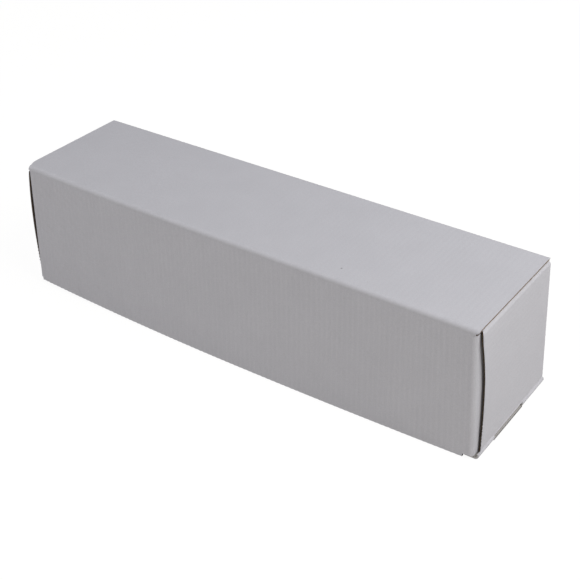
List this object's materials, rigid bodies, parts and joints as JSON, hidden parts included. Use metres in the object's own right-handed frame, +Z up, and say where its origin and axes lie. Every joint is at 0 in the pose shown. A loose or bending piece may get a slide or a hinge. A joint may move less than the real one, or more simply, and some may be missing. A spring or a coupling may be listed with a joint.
{
  "type": "mailer box",
  "caption": "Long white corrugated mailer box, folded from one sheet, with rolled-over end walls, a hinged lid and a front flap that tucks in by its ears.",
  "frame": {"origin": "on the floor, under the middle of the closed box", "axes": "+X along the box, +Y from the front flap to the hinge side, +Z up"},
  "size_m": [0.325, 0.082, 0.085],
  "materials": {
    "board": "matt white outer liner on brown corrugated board"
  },
  "bodies": {
    "tray": {"tray": "board"},
    "lid": {"lid": "board"},
    "front_flap": {"front_flap": "board"}
  },
  "joints": [
    {"name": "lid_hinge", "type": "hinge", "parent": "tray", "child": "lid", "pos_m": [0, 0.04027, 0.08427], "axis": [-1, 0, 0], "range_deg": [0, 180]},
    {"name": "flap_hinge", "type": "hinge", "parent": "lid", "child": "front_flap", "pos_m": [0, -0.04027, 0.08427], "axis": [-1, 0, 0], "range_deg": [0, 90]}
  ]
}
